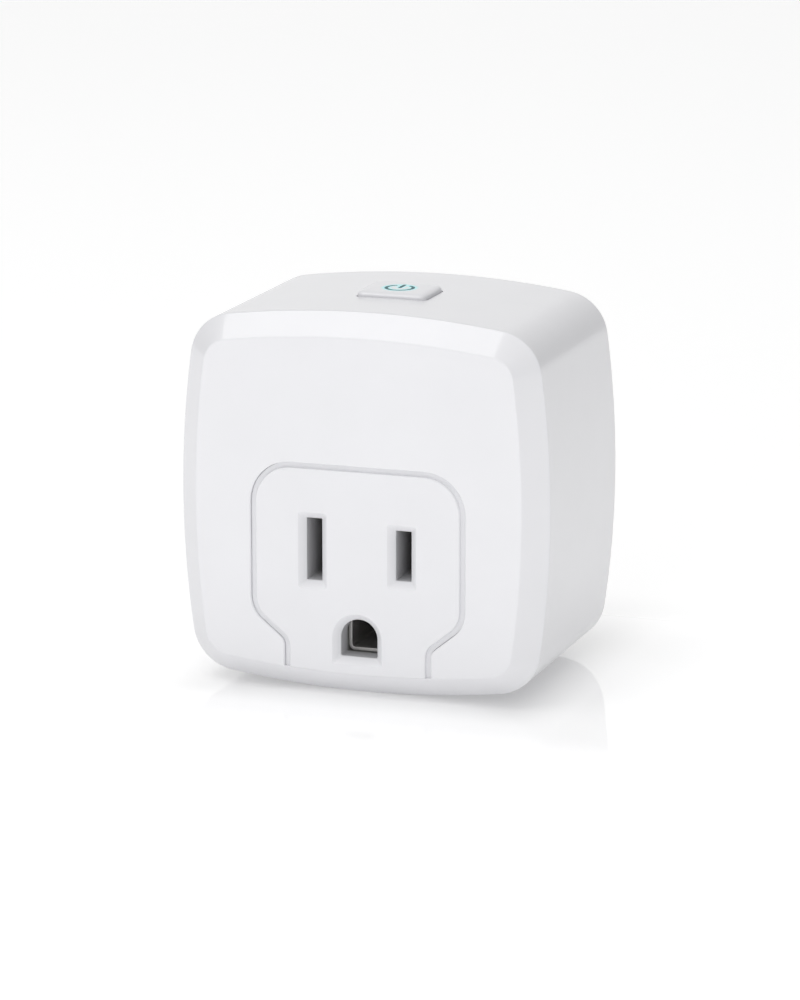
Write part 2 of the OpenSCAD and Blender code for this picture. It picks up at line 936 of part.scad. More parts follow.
module wifi_shield() {
    front = wifi_back - 11.5;
    back = wifi_back - 1.5;
    margin = 1;
    height = 1.8;
    color("silver") box(
        [wifi_x + wifi_t, front, wifi_low + margin],
        [wifi_x + wifi_t + height, back, wifi_top - margin]
    );
}

// A folded copper line at the free end of the radio board
module antenna_trace() {
    t = 0.1;
    line = 0.5;
    rows = 4;
    step = 2.4;
    run = 4;
    front = wifi_back - wifi_l + 0.8;
    low = wifi_low + 1.4;
    color("gold") for (i = [0:rows - 1]) {
        z = low + i * step;
        box([wifi_x + wifi_t, front, z], [wifi_x + wifi_t + t, front + run, z + line]);
        if (i < rows - 1) {
            y = i % 2 == 0 ? front : front + run - line;
            box([wifi_x + wifi_t, y, z], [wifi_x + wifi_t + t, y + line, z + step + line]);
        }
    }
}

// ---------------------------------------------------------------- switch and button

module switch_board() {
    color("darkgreen") box(
        [-switch_board_w / 2, button_y - switch_board_l / 2, switch_board_top - switch_board_t],
        [switch_board_w / 2, button_y + switch_board_l / 2, switch_board_top]
    );
}

// A flat cable off the back of the switch's board, down to the main board
module switch_ribbon() {
    left = -6.8;
    right = -3;
    t = 0.3;
    overlap = 1.2;
    front = button_y + switch_board_l / 2 - overlap;
    drop = board_front - 2 * t;
    low = 14;
    color("dimgray") {
        box([left, front, switch_board_top], [right, drop + t, switch_board_top + t]);
        box([left, drop, low], [right, drop + t, switch_board_top + t]);
        box([left, drop, low], [right, board_front, low + 2 * t]);
    }
}

module switch_base() {
    color("dimgray") translate([0, button_y, switch_board_top]) difference() {
        translate([-switch_w / 2, -switch_w / 2, 0]) cube([switch_w, switch_w, switch_h]);
        translate([0, 0, switch_floor])
            cylinder(r = dome_r + 2 * easy, h = switch_h - switch_floor - switch_roof);
        translate([0, 0, switch_floor]) cylinder(r = plunger_r + plunger_gap, h = switch_h);
    }
}

// A shallow snap dome
module switch_dome() {
    ball_r = (dome_r * dome_r + dome_h * dome_h) / (2 * dome_h);
    color("silver") translate([0, button_y, dome_base + dome_h - ball_r]) rotate_extrude() intersection() {
        difference() {
            circle(r = ball_r);
            circle(r = ball_r - dome_t);
        }
        translate([0, ball_r - dome_h]) square([dome_r, dome_h]);
    }
}

module switch_plunger() {
    color("black") translate([0, button_y, plunger_foot]) {
        cylinder(r = plunger_r, h = plunger_top - plunger_foot);
        cylinder(r = dome_r, h = plunger_shoulder - plunger_foot);
    }
}

module status_led() {
    w = 1;
    l = 1.6;
    color("aqua") translate([led_x, button_y, switch_board_top]) {
        translate([-w / 2, -l / 2, 0]) cube([w, l, led_base_t]);
        translate([-w / 2, -w / 2, led_base_t - snug]) cube([w, w, led_lens_t]);
    }
}

// An open ring with a bar in its gap
module icon_shape(thick) {
    ring_r = icon_size / 2 - icon_line / 2;
    gap_angle = 35;
    rotate([0, 0, 90 + gap_angle]) rotate_extrude(angle = 360 - 2 * gap_angle)
        translate([ring_r - icon_line / 2, 0]) square([icon_line, thick]);
    for (s = SIDES) {
        rotate([0, 0, 90 + s * gap_angle]) translate([ring_r, 0, 0]) cylinder(r = icon_line / 2, h = thick);
    }
    translate([-icon_line / 2, 0, 0]) cube([icon_line, ring_r + icon_line / 2, thick]);
    for (y = [0, ring_r + icon_line / 2]) translate([0, y, 0]) cylinder(r = icon_line / 2, h = thick);
}

module cap_block(inset, low_z, high_z) {
    translate([0, button_y, low_z]) linear_extrude(high_z - low_z)
        rounded_rect(button_w - 2 * inset, button_l - 2 * inset, button_corner - inset);
}

module button_cap() {
    flange_low = cap_flange_top - cap_flange_t;
    color("white") difference() {
        union() {
            cap_block(0, flange_low, button_top - button_edge);
            cap_block(button_edge / 2, button_top - button_edge - join, button_top - button_edge / 3);
            cap_block(button_edge, button_top - button_edge / 3 - join, button_top);
            translate([0, button_y, flange_low]) linear_extrude(cap_flange_t)
                rounded_rect(button_w + 2 * cap_flange, button_l + 2 * cap_flange, button_corner);
        }
        cap_block(cap_wall - loose, flange_low - over, button_top - cap_skin);
        translate([0, button_y, button_top - icon_depth]) icon_shape(over);
    }
}

// A clear disc under the mark, with a leg over the LED and a stem over the plunger
module light_guide() {
    top = button_top - cap_skin;
    disc_t = 1;
    stem_r = 1.2;
    leg_w = 1.2;
    leg_x = [3.3, 3.95];
    stem_top = disc_t / 2;
    leg_gap = 0.5;
    led_t = led_base_t - snug + led_lens_t;
    leg_low = switch_board_top + led_t + button_travel + leg_gap;
    color("azure", 0.6) {
        cap_block(cap_wall - loose + guide_gap, top - disc_t, top);
        translate([0, button_y, plunger_top + snug])
            cylinder(r = stem_r, h = top - stem_top - plunger_top);
        box(
            [leg_x[0], button_y - leg_w / 2, leg_low],
            [leg_x[1], button_y + leg_w / 2, top - disc_t / 2]
        );
    }
}

module icon_lens() {
    color("turquoise") translate([0, button_y, button_top - icon_depth]) icon_shape(icon_depth);
}

// ---------------------------------------------------------------- what is drawn

front_housing();
outlet_insert();
rear_cover();
cover_screws();
hot_blade();
neutral_blade();
ground_pin();
contact_carrier();
contact_retainer();
carrier_screws();
hot_contact();
neutral_contact();
ground_contact();
ground_strap();
neutral_strap();
hot_lead();
main_board();
board_screws();
relay();
film_capacitor();
varistor();
fuse_resistor();
bridge_rectifier();
bulk_capacitors();
filter_choke();
converter_chip();
output_capacitor();
regulator_chip();
wifi_board();
header_pins();
wifi_shield();
antenna_trace();
switch_board();
switch_ribbon();
switch_base();
switch_dome();
switch_plunger();
status_led();
button_cap();
light_guide();
icon_lens();
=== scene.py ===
import json
import math

import bmesh
import bpy
import numpy as np
from mathutils import Matrix, Vector


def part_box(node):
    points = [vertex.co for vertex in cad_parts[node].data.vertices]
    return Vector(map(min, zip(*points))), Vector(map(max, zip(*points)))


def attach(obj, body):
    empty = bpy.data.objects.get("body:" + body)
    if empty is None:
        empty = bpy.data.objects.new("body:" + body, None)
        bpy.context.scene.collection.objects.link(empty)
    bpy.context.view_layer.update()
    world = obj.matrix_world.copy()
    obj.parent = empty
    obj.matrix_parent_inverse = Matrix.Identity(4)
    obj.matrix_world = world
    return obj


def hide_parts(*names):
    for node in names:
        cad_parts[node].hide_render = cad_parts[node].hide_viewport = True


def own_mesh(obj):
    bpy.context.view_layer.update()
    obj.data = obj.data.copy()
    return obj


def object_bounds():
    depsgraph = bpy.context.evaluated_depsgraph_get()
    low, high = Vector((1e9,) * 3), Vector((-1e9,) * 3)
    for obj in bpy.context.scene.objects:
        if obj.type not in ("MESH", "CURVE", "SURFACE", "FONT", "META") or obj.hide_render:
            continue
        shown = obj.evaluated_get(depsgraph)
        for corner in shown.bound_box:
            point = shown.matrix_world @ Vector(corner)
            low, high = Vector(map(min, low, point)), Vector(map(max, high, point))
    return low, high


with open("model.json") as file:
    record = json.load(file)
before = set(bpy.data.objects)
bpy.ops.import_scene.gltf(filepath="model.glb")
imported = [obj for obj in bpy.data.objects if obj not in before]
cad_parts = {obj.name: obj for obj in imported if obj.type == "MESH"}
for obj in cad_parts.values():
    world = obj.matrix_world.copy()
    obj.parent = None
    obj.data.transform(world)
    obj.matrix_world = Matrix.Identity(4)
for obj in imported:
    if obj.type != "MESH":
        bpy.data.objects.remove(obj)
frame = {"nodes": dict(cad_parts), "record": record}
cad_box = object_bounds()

# Lengths are in millimetres up to finish_piece(), which turns each mesh into metres.
# X runs across the plug, Y runs back to the wall and Z runs up. The rear face is at y = 0.
MM = 0.001
scene = bpy.context.scene


# ---------------------------------------------------------------- sizes

def node_box(node):
    """A CAD node's lowest and highest corner, in millimetres."""
    return [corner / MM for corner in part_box(node)]


SHELL_LOW, SHELL_HIGH = node_box("front_housing")
CAP_LOW, CAP_HIGH = node_box("button_cap")
INSERT_BACK = node_box("outlet_insert")[1].y
SWITCH_BOARD_LOW = node_box("switch_board")[0].z

# The body: four wide arcs joined by corner arcs
HALF = round(SHELL_HIGH.x, 1)
FACE_Y = SHELL_LOW.y
SIDE_BULGE = 2.5
CORNER_R = 6.5
FACE_BEVEL = 3.1
REAR_BEVEL = 0.5
WALL = 2.0
FRONT_WALL = 2.2
INNER_BEVEL = 2.2
COVER_SEAM = 0.12
EDGE_R = 0.45
COVER_FRONT = -2.2
ARC_R = (HALF ** 2 + SIDE_BULGE ** 2) / (2 * SIDE_BULGE)
ARC_C = ARC_R - HALF
CORNER_C = (math.sqrt(2 * (ARC_R - CORNER_R) ** 2 - ARC_C ** 2) - ARC_C) / 2
ARC_SPAN = math.atan2(CORNER_C, CORNER_C + ARC_C)
CAVITY_Y = FACE_Y + FRONT_WALL

# The outlet panel and its holes
PAD_W = 29.0
PAD_TOP = 4.9
PAD_CORNER = 5.0
NECK_W = 19.4
NECK_FILLET = 2.3
SHOULDER_R = 3.6
SHOULDER_ANGLE = math.radians(51)
SHOULDER_Z = -13.2
GROOVE_W = 0.75
GROOVE_DEPTH = 0.5
PANEL_EDGE_R = 0.22
FLANGE_LAP = 1.3
SEAM_HAIR = 0.008
SLOT_X = 6.35
SLOT_Z = -6.3
SLOT_W = 2.2
NEUTRAL_SLOT = 8.6
HOT_SLOT = 6.9
SLOT_CORNER = 0.12
GROUND_Z = SLOT_Z - 11.9
GROUND_R = 2.6
MOUTH_BEVEL = 0.95
COLLAR_WALL = 0.8
COLLAR_BACK = FACE_Y + 8.2
FLANGE_T = 1.2
PEG_X = 13.6
PEG_Z = 0.4
PEG_R = 1.9

# The prongs
BLADE_T = 1.5
HOT_BLADE_W = 6.35
NEUTRAL_BLADE_W = 7.9
BLADE_END = 17.5
PIN_R = 2.4
PIN_END = 20.6
PIN_HOLE_R = 2.46
PRONG_FOOT = -3.2
PRONG_SEAT = -2.25
SHANK_R = 1.9

# The button
BUTTON_Y = (CAP_LOW.y + CAP_HIGH.y) / 2
BUTTON_TOP = CAP_HIGH.z
BUTTON_W = 9.8
BUTTON_L = 8.2
BUTTON_CORNER = 1.0
BUTTON_EDGE_W = 0.95
BUTTON_EDGE_H = 0.55
BUTTON_GAP = 0.18
ICON_D = 4.2
ICON_LINE = 0.5
ICON_GAP_ANGLE = math.radians(35)
ICON_DEPTH = 0.3

# Screws
BOSS_AT = 18.9
BOSS_HOLE_R = 1.15
BOSS_HOLE_FRONT = -10

# How far a cut starts outside the surface that it rounds, so that the two cross cleanly
CROSSING = 0.002
CUT_OVER = 1.5


# ---------------------------------------------------------------- mesh building

def arc(centre, radius, start, end, steps):
    """Points on a circle from one angle to another, both ends included."""
    return [
        (centre[0] + radius * math.cos(a), centre[1] + radius * math.sin(a))
        for a in np.linspace(start, end, steps + 1)
    ]


def link(name, mesh):
    obj = bpy.data.objects.new(name, mesh)
    scene.collection.objects.link(obj)
    return obj


def solid(name, verts, faces):
    """A mesh object from points in millimetres, with its faces turned outwards."""
    mesh = bpy.data.meshes.new(name)
    mesh.from_pydata([tuple(v) for v in verts], [], faces)
    bm = bmesh.new()
    bm.from_mesh(mesh)
    bmesh.ops.recalc_face_normals(bm, faces=bm.faces)
    bm.to_mesh(mesh)
    bm.free()
    return link(name, mesh)


def loft(name, rings):
    """A closed solid over rings that all have the same number of points."""
    count = len(rings[0])
    verts = [p for ring in rings for p in ring]
    faces = [tuple(range(count)), tuple(range(len(verts) - count, len(verts)))]
    for k in range(len(rings) - 1):
        a = k * count
        b = a + count
        for i in range(count):
            j = (i + 1) % count
            faces.append((a + i, a + j, b + j, b + i))
    return solid(name, verts, faces)


def full_turn(sides):
    """Evenly spaced angles round a circle, without the last that meets the first."""
    return np.linspace(0, 2 * math.pi, sides, endpoint=False)


def lathe(name, profile, centre, sides=64):
    """A solid turned about an axis along Y. The profile is (y, radius) points from end to end."""
    x, z = centre
    rings = [
        [(x + r * math.cos(a), y, z + r * math.sin(a)) for a in full_turn(sides)]
        for y, r in profile
    ]
    return loft(name, rings)


def rod(centre, radius, front, back, sides=40):
    return lathe("rod", [(front, radius), (back, radius)], centre, sides)


def evaluated(obj):
    """Bakes an object's modifiers into its mesh."""
    graph = bpy.context.evaluated_depsgraph_get()
    mesh = bpy.data.meshes.new_from_object(obj.evaluated_get(graph))
    obj.modifiers.clear()
    old = obj.data
    obj.data = mesh
    bpy.data.meshes.remove(old)


def boolean(obj, others, operation="DIFFERENCE"):
    for other in others:
        modifier = obj.modifiers.new("boolean", "BOOLEAN")
        modifier.solver = "EXACT"
        modifier.operation = operation
        modifier.object = other
    evaluated(obj)
    for other in others:
        mesh = other.data
        bpy.data.objects.remove(other)
        bpy.data.meshes.remove(mesh)
    return obj


def shade(obj, sharp_angle=28):
    """Smooth faces with hard edges above an angle, and normals that keep flat faces flat."""
    limit = math.radians(sharp_angle)
    bm = bmesh.new()
    bm.from_mesh(obj.data)
    bmesh.ops.remove_doubles(bm, verts=bm.verts, dist=0.0005)
    bmesh.ops.dissolve_degenerate(bm, edges=bm.edges, dist=0.0005)
    for face in bm.faces:
        face.smooth = True
    for edge in bm.edges:
        edge.smooth = len(edge.link_faces) == 2 and edge.calc_face_angle(0) < limit
    bm.to_mesh(obj.data)
    bm.free()
    weights = obj.modifiers.new("weighted normals", "WEIGHTED_NORMAL")
    weights.mode = "FACE_AREA"
    weights.weight = 60
    weights.keep_sharp = True
    evaluated(obj)


def finish_piece(obj, body, slot, material, *nodes):
    """Shades a piece, turns it into metres and hangs it on its CAD body."""
    shade(obj)
    obj.data.transform(Matrix.Scale(MM, 4))
    obj.data.materials.clear()
    obj.data.materials.append(material)
    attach(obj, body)
    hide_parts(*nodes)
    return obj


def fillet(a, corner, b, radius, steps=5):
    """Points that round the corner of a path in a plane, from the leg to a to the leg to b."""
    corner, a, b = Vector(corner), Vector(a), Vector(b)
    to_a = (a - corner).normalized()
    to_b = (b - corner).normalized()
    half_angle = to_a.angle(to_b) / 2
    reach = radius / math.tan(half_angle)
    centre = corner + (to_a + to_b).normalized() * (radius / math.sin(half_angle))
    start = corner + to_a * reach - centre
    end = corner + to_b * reach - centre
    turn = start.angle_signed(end)
    points = []
    for t in np.linspace(0, 1, steps + 1):
        spin = -turn * t
        points.append((
            centre.x + start.x * math.cos(spin) - start.y * math.sin(spin),
            centre.y + start.x * math.sin(spin) + start.y * math.cos(spin),
        ))
    return points


def rounded_path(points, radii, steps=5):
    """A path in a plane with its inner corners rounded, each by its own radius."""
    path = [tuple(points[0])]
    for i in range(1, len(points) - 1):
        r = radii[i - 1]
        if r:
            path += fillet(points[i - 1], points[i], points[i + 1], r, steps)
        else:
            path.append(tuple(points[i]))
    path.append(tuple(points[-1]))
    return path


# ---------------------------------------------------------------- body shape

def body_ring(y, inset, per_side=26, per_corner=12):
    """The body's outline, pulled in by inset, at a depth."""
    quarter = arc((-ARC_C, 0), ARC_R - inset, -ARC_SPAN, ARC_SPAN, per_side)
    corner = arc(
        (CORNER_C, CORNER_C), CORNER_R - inset, ARC_SPAN, math.pi / 2 - ARC_SPAN, per_corner
    )
    quarter += corner[1:-1]
    ring = []
    for turn in range(4):
        c, s = [(1, 0), (0, 1), (-1, 0), (0, -1)][turn]
        ring += [(x * c - z * s, y, x * s + z * c) for x, z in quarter]
    return ring


def side_height(x, inset=0.0):
    """How far the top surface lies above the middle, at x."""
    return math.sqrt((ARC_R - inset) ** 2 - x ** 2) - ARC_C


def make_shell():
    """The cup: outside from the front face back, then the rim, then the inside."""
    outside = rounded_path(
        [
            (FACE_Y, FACE_BEVEL + 2), (FACE_Y, FACE_BEVEL), (FACE_Y + FACE_BEVEL, 0),
            (0, 0), (0, WALL),
        ],
        [EDGE_R, EDGE_R, REAR_BEVEL],
        6,
    )
    inside = rounded_path(
        [(0, WALL), (CAVITY_Y + INNER_BEVEL, WALL), (CAVITY_Y, WALL + INNER_BEVEL)],
        [0.6],
    )
    shell = loft("front_shell", [body_ring(y, inset) for y, inset in outside[1:] + inside[1:]])
    boolean(shell, [shell_ribs()], "UNION")
    boolean(shell, [opening_cutter(), button_cutter()])
    boolean(shell, [
        rod(centre, BOSS_HOLE_R, BOSS_HOLE_FRONT, CUT_OVER) for centre in boss_centres()
    ])
    return shell


def boss_centres():
    return [(sx * BOSS_AT, sz * BOSS_AT) for sx in (-1, 1) for sz in (-1, 1)]


def shell_ribs():
    """Inside the cup: a boss with its web in each corner, and the button board's two rails."""
    boss_r = 2.7
    web_half = 1.2
    web_reach = 4.9
    front = -22.0
    ribs = None
    for x, z in boss_centres():
        boss = rod((x, z), boss_r, front, COVER_FRONT)
        out = Vector((math.copysign(1, x), math.copysign(1, z))).normalized()
        side = Vector((-out.y, out.x)) * web_half
        root = Vector((x, z))
        wall = root + out * web_reach
        corners = [root - side, root + side, wall + side, wall - side]
        web = loft("web", [[(c.x, y, c.y) for c in corners] for y in (front, COVER_FRONT)])
        boolean(boss, [web], "UNION")
        ribs = boss if ribs is None else boolean(ribs, [boss], "UNION")
    for side in (-1, 1):
        boolean(ribs, [board_rail(side)], "UNION")
    return ribs


def board_rail(side):
    """An L-shaped rail that hangs from the top wall and holds one edge of the button's board."""
    inner = 7.6
    outer = 8.8
    ledge = 1.2
    ledge_t = 1
    half_length = 5.5
    low = SWITCH_BOARD_LOW - COVER_SEAM - ledge_t
    high = HALF - WALL / 2
    corners = [
        (inner - ledge, low), (outer, low), (outer, high), (inner, high),
        (inner, low + ledge_t), (inner - ledge, low + ledge_t),
    ]
    return loft("rail", [
        [(side * x, y, z) for x, z in corners]
        for y in (BUTTON_Y - half_length, BUTTON_Y + half_length)
    ])


# ---------------------------------------------------------------- outlet panel

def pad_ring(y, grow, bottom_inset=None):
    """The panel's outline, grown, ending below the body, or on the body's arc at an inset."""
    steps = 10
    bottom_steps = 24
    right = arc(
        (PAD_W / 2 - PAD_CORNER, PAD_TOP - PAD_CORNER), PAD_CORNER + grow, math.pi / 2, 0, steps
    )
    right += arc(
        (PAD_W / 2 - SHOULDER_R, SHOULDER_Z), SHOULDER_R + grow, 0, -SHOULDER_ANGLE, steps
    )
    fillet_x = NECK_W / 2 + NECK_FILLET
    slope_x = PAD_W / 2 - SHOULDER_R + SHOULDER_R * math.cos(SHOULDER_ANGLE)
    slope_z = SHOULDER_Z - SHOULDER_R * math.sin(SHOULDER_ANGLE)
    end_x = NECK_W / 2 + NECK_FILLET * (1 - math.cos(SHOULDER_ANGLE))
    end_z = slope_z - (slope_x - end_x) / math.tan(SHOULDER_ANGLE)
    fillet_z = end_z - NECK_FILLET * math.sin(SHOULDER_ANGLE)
    right += arc(
        (fillet_x, fillet_z), NECK_FILLET - grow, math.pi - SHOULDER_ANGLE, math.pi, steps
    )
    neck = NECK_W / 2 + grow
    across = np.linspace(neck, -neck, bottom_steps + 1)
    if bottom_inset is None:
        bottom = [(x, -HALF - CUT_OVER) for x in across]
    else:
        bottom = [(x, -side_height(x, bottom_inset)) for x in across]
    left = [(-x, z) for x, z in reversed(right)]
    return [(x, y, z) for x, z in right + bottom + left]


def flared(hole_grow, radius, back, steps=5):
    """(y, grow) points of a cutter that leaves a rounded edge round its hole in the front face."""
    y = FACE_Y - CROSSING
    path = [(FACE_Y - CUT_OVER, hole_grow + radius)]
    path += [
        (y + radius - radius * math.cos(t), hole_grow + radius - radius * math.sin(t))
        for t in np.linspace(0, math.pi / 2, steps + 1)
    ]
    path.append((back, hole_grow))
    return path


def opening_cutter():
    """Cuts the panel's opening and the groove's outer edge, and nothing of the bevel below."""
    profile = flared(GROOVE_W, PANEL_EDGE_R, CAVITY_Y + CUT_OVER)
    return loft("opening", [pad_ring(y, grow, FACE_BEVEL) for y, grow in profile])


def mouth_profile(back):
    """(y, grow) points of a hole's bevelled lead-in, with softened edges."""
    outer_r = 0.1
    inner_r = 0.12
    path = rounded_path(
        [
            (FACE_Y, MOUTH_BEVEL + 1), (FACE_Y, MOUTH_BEVEL), (FACE_Y + MOUTH_BEVEL, 0), (back, 0),
        ],
        [outer_r, inner_r],
        4,
    )
    bend = path[1:]
    bend = [(y - CROSSING, grow) for y, grow in bend[:-1]] + [bend[-1]]
    return [(FACE_Y - CUT_OVER, bend[0][1])] + bend


def rect_ring(x0, z0, y, w, h, corner, steps=4):
    """A rounded rectangle about (x0, z0), at a depth."""
    ring = []
    for k, (sx, sz) in enumerate([(1, 1), (-1, 1), (-1, -1), (1, -1)]):
        centre = (x0 + sx * (w / 2 - corner), z0 + sz * (h / 2 - corner))
        start = k * math.pi / 2
        ring += [(x, y, z) for x, z in arc(centre, corner, start, start + math.pi / 2, steps)]
    return ring


def slot_cutter(x, length):
    return loft("slot", [
        rect_ring(x, SLOT_Z, y, SLOT_W + 2 * grow, length + 2 * grow, SLOT_CORNER + 0.25 * grow)
        for y, grow in mouth_profile(COLLAR_BACK + CUT_OVER)
    ])


def ground_ring(y, grow, corner=0.25, top_steps=36, corner_steps=4):
    """Round above and flat below."""
    r = GROUND_R + grow
    ring = arc((0, GROUND_Z), r, 0, math.pi, top_steps)
    floor = GROUND_Z - r
    ring += arc((-r + corner, floor + corner), corner, math.pi, 1.5 * math.pi, corner_steps)
    ring += arc((r - corner, floor + corner), corner, 1.5 * math.pi, 2 * math.pi, corner_steps)
    return [(x, y, z) for x, z in ring]


def ground_cutter():
    return loft("ground_hole", [
        ground_ring(y, grow) for y, grow in mouth_profile(INSERT_BACK + CUT_OVER)
    ])


def body_clip():
    """What the panel may fill: the body's rounded front edge, then straight back, the flange."""
    front = rounded_path(
        [(FACE_Y, FACE_BEVEL + 2), (FACE_Y, FACE_BEVEL), (FACE_Y + FACE_BEVEL, 0)], [EDGE_R], 8
    )
    hair = FACE_BEVEL + SEAM_HAIR
    bend = [(y - 0.0006, inset) for y, inset in front[1:-1] if inset > hair]
    bend.append((bend[-1][0] + 0.02, hair))
    flange_inset = WALL + INNER_BEVEL + 0.05
    path = [(FACE_Y - CUT_OVER, bend[0][1])] + bend
    path += [
        (CAVITY_Y + COVER_SEAM, hair), (CAVITY_Y + COVER_SEAM, flange_inset),
        (0, flange_inset),
    ]
    return loft("clip", [body_ring(y, inset) for y, inset in path])


def make_panel():
    """The outlet panel: a softly edged face, the groove's floor, the flange and the collars."""
    r = PANEL_EDGE_R
    flange_y = CAVITY_Y + COVER_SEAM
    back = CAVITY_Y + FLANGE_T
    lap = 0.3
    skirt = GROOVE_W - 0.05
    profile = [
        (FACE_Y + r - r * math.cos(t), -r + r * math.sin(t))
        for t in np.linspace(0, math.pi / 2, 6)
    ]
    profile += rounded_path(
        [
            (FACE_Y + r + 0.05, 0), (FACE_Y + GROOVE_DEPTH, 0), (FACE_Y + GROOVE_DEPTH, skirt),
        ],
        [0.12],
        4,
    )
    profile += [(flange_y, skirt), (flange_y, skirt + FLANGE_LAP), (back, skirt + FLANGE_LAP)]
    panel = loft("outlet_panel", [pad_ring(y, grow) for y, grow in profile])
    boolean(panel, [body_clip()], "INTERSECT")
    for x, length in ((-SLOT_X, NEUTRAL_SLOT), (SLOT_X, HOT_SLOT)):
        collar = loft("collar", [
            rect_ring(x, SLOT_Z, y, SLOT_W + 2 * COLLAR_WALL, length + 2 * COLLAR_WALL, 0.4)
            for y in (back - lap, COLLAR_BACK)
        ])
        boolean(panel, [collar], "UNION")
    for side in (-1, 1):
        boolean(panel, [rod((side * PEG_X, PEG_Z), PEG_R, back - lap, INSERT_BACK)], "UNION")
    boolean(panel, [
        slot_cutter(-SLOT_X, NEUTRAL_SLOT), slot_cutter(SLOT_X, HOT_SLOT), ground_cutter(),
    ])
    return panel


# ---------------------------------------------------------------- button

def button_ring(grow, rise, follow=0.0, corner=BUTTON_CORNER, steps=8, per_side=8):
    """The button's outline seen from above. follow = 1 makes it lie on the bowed top."""
    w = BUTTON_W / 2 + grow
    l = BUTTON_L / 2 + grow
    r = corner + grow
    outline = []
    for k, (sx, sy) in enumerate([(1, 1), (-1, 1), (-1, -1), (1, -1)]):
        start = k * math.pi / 2
        centre = (sx * (w - r), sy * (l - r))
        outline += arc(centre, r, start, start + math.pi / 2, steps)
        last = Vector(outline[-1])
        nx, ny = [(-1, 1), (-1, -1), (1, -1), (1, 1)][k]
        following = Vector([
            (nx * (w - r), ny * l), (nx * w, ny * (l - r)),
            (nx * (w - r), ny * l), (nx * w, ny * (l - r)),
        ][k])
        outline += [tuple(last.lerp(following, i / per_side)) for i in range(1, per_side)]
    return [
        (x, BUTTON_Y + y, rise + follow * side_height(x) + (1 - follow) * HALF) for x, y in outline
    ]


def button_cutter():
    """The button's hole in the top, its edge softened along the bowed surface."""
    r = 0.14
    rise = CROSSING
    path = [(BUTTON_GAP + r, CUT_OVER)]
    path += [
        (BUTTON_GAP + r - r * math.sin(t), rise - r + r * math.cos(t))
        for t in np.linspace(0, math.pi / 2, 6)
    ]
    path.append((BUTTON_GAP, -2 * WALL))
    return loft("button_hole", [button_ring(grow, z, 1.0) for grow, z in path])


def icon_centre_line(count=44):
    """The open ring of the power mark, from one end to the other."""
    r = (ICON_D - ICON_LINE) / 2
    start = math.pi / 2 + ICON_GAP_ANGLE
    end = math.pi / 2 - ICON_GAP_ANGLE + 2 * math.pi
    return arc((0, 0), r, start, end, count)


def stroke(name, line, width, low_z, high_z):
    """A band with round ends along a line, seen from above, between two heights."""
    cap_steps = 6
    points = [Vector(p) for p in line]
    left, right = [], []
    for i, p in enumerate(points):
        ahead = points[min(i + 1, len(points) - 1)] - points[max(i - 1, 0)]
        side = Vector((-ahead.y, ahead.x)).normalized() * width / 2
        left.append(p + side)
        right.append(p - side)

    def cap(p, start_side):
        turned = []
        for k in range(1, cap_steps):
            a = -math.pi * k / cap_steps
            c, s = math.cos(a), math.sin(a)
            x, y = start_side
            turned.append(p + Vector((x * c - y * s, x * s + y * c)))
        return turned

    outline = left + cap(points[-1], left[-1] - points[-1])
    outline += list(reversed(right)) + cap(points[0], right[0] - points[0])
    rings = [[(p.x, BUTTON_Y + p.y, z) for p in outline] for z in (low_z, high_z)]
    return loft(name, rings)


def icon_solid(width, low_z, high_z):
    """The generic power mark: an open ring with a bar in its gap."""
    r = (ICON_D - ICON_LINE) / 2
    mark = stroke("mark", icon_centre_line(), width, low_z, high_z)
    bar = stroke("bar", [(0, 0), (0, r / 2), (0, r + ICON_LINE / 2)], width, low_z, high_z)
    return boolean(mark, [bar], "UNION")


def make_button():
    """The cap: soft top edges, straight sides and a flange under the housing's top."""
    wide, high = BUTTON_EDGE_W, BUTTON_EDGE_H
    top = BUTTON_TOP - HALF
    flange_low = CAP_LOW.z - HALF
    flange_top = flange_low + 0.7
    flange = 0.8
    wall = 0.8
    crown = 1.1
    path = [
        (wide * (math.sin(t) - 1), top + high * (math.cos(t) - 1))
        for t in np.linspace(0, math.pi / 2, 8)
    ]
    path += [(0, flange_top), (flange, flange_top), (flange, flange_low)]
    cap = loft("power_button", [button_ring(grow, z) for grow, z in path])
    pocket = loft("pocket", [
        button_ring(-wall, z, corner=1.0) for z in (flange_low - CUT_OVER, top - crown)
    ])
    boolean(cap, [pocket, icon_solid(ICON_LINE, BUTTON_TOP - ICON_DEPTH, BUTTON_TOP + CUT_OVER)])
    return cap


def make_dome():
    """The snap dome under the plunger: a thin shallow shell."""
    thickness = 0.12
    tip_angle = 0.03
    low, high = node_box("switch_dome")
    rim = (high.x - low.x) / 2
    tall = high.z - low.z
    ball = (rim ** 2 + tall ** 2) / (2 * tall)
    skin = ball - thickness
    outside = (ball, tip_angle, math.asin(rim / ball))
    inside = (skin, math.acos((ball - tall) / skin), tip_angle)
    rings = []
    for radius, start, end in (outside, inside):
        for t in np.linspace(start, end, 12):
            r = radius * math.sin(t)
            z = high.z - ball + radius * math.cos(t)
            rings.append([
                (r * math.cos(a), BUTTON_Y + r * math.sin(a), z) for a in full_turn(48)
            ])
    return loft("snap_dome", rings)


# ---------------------------------------------------------------- rear

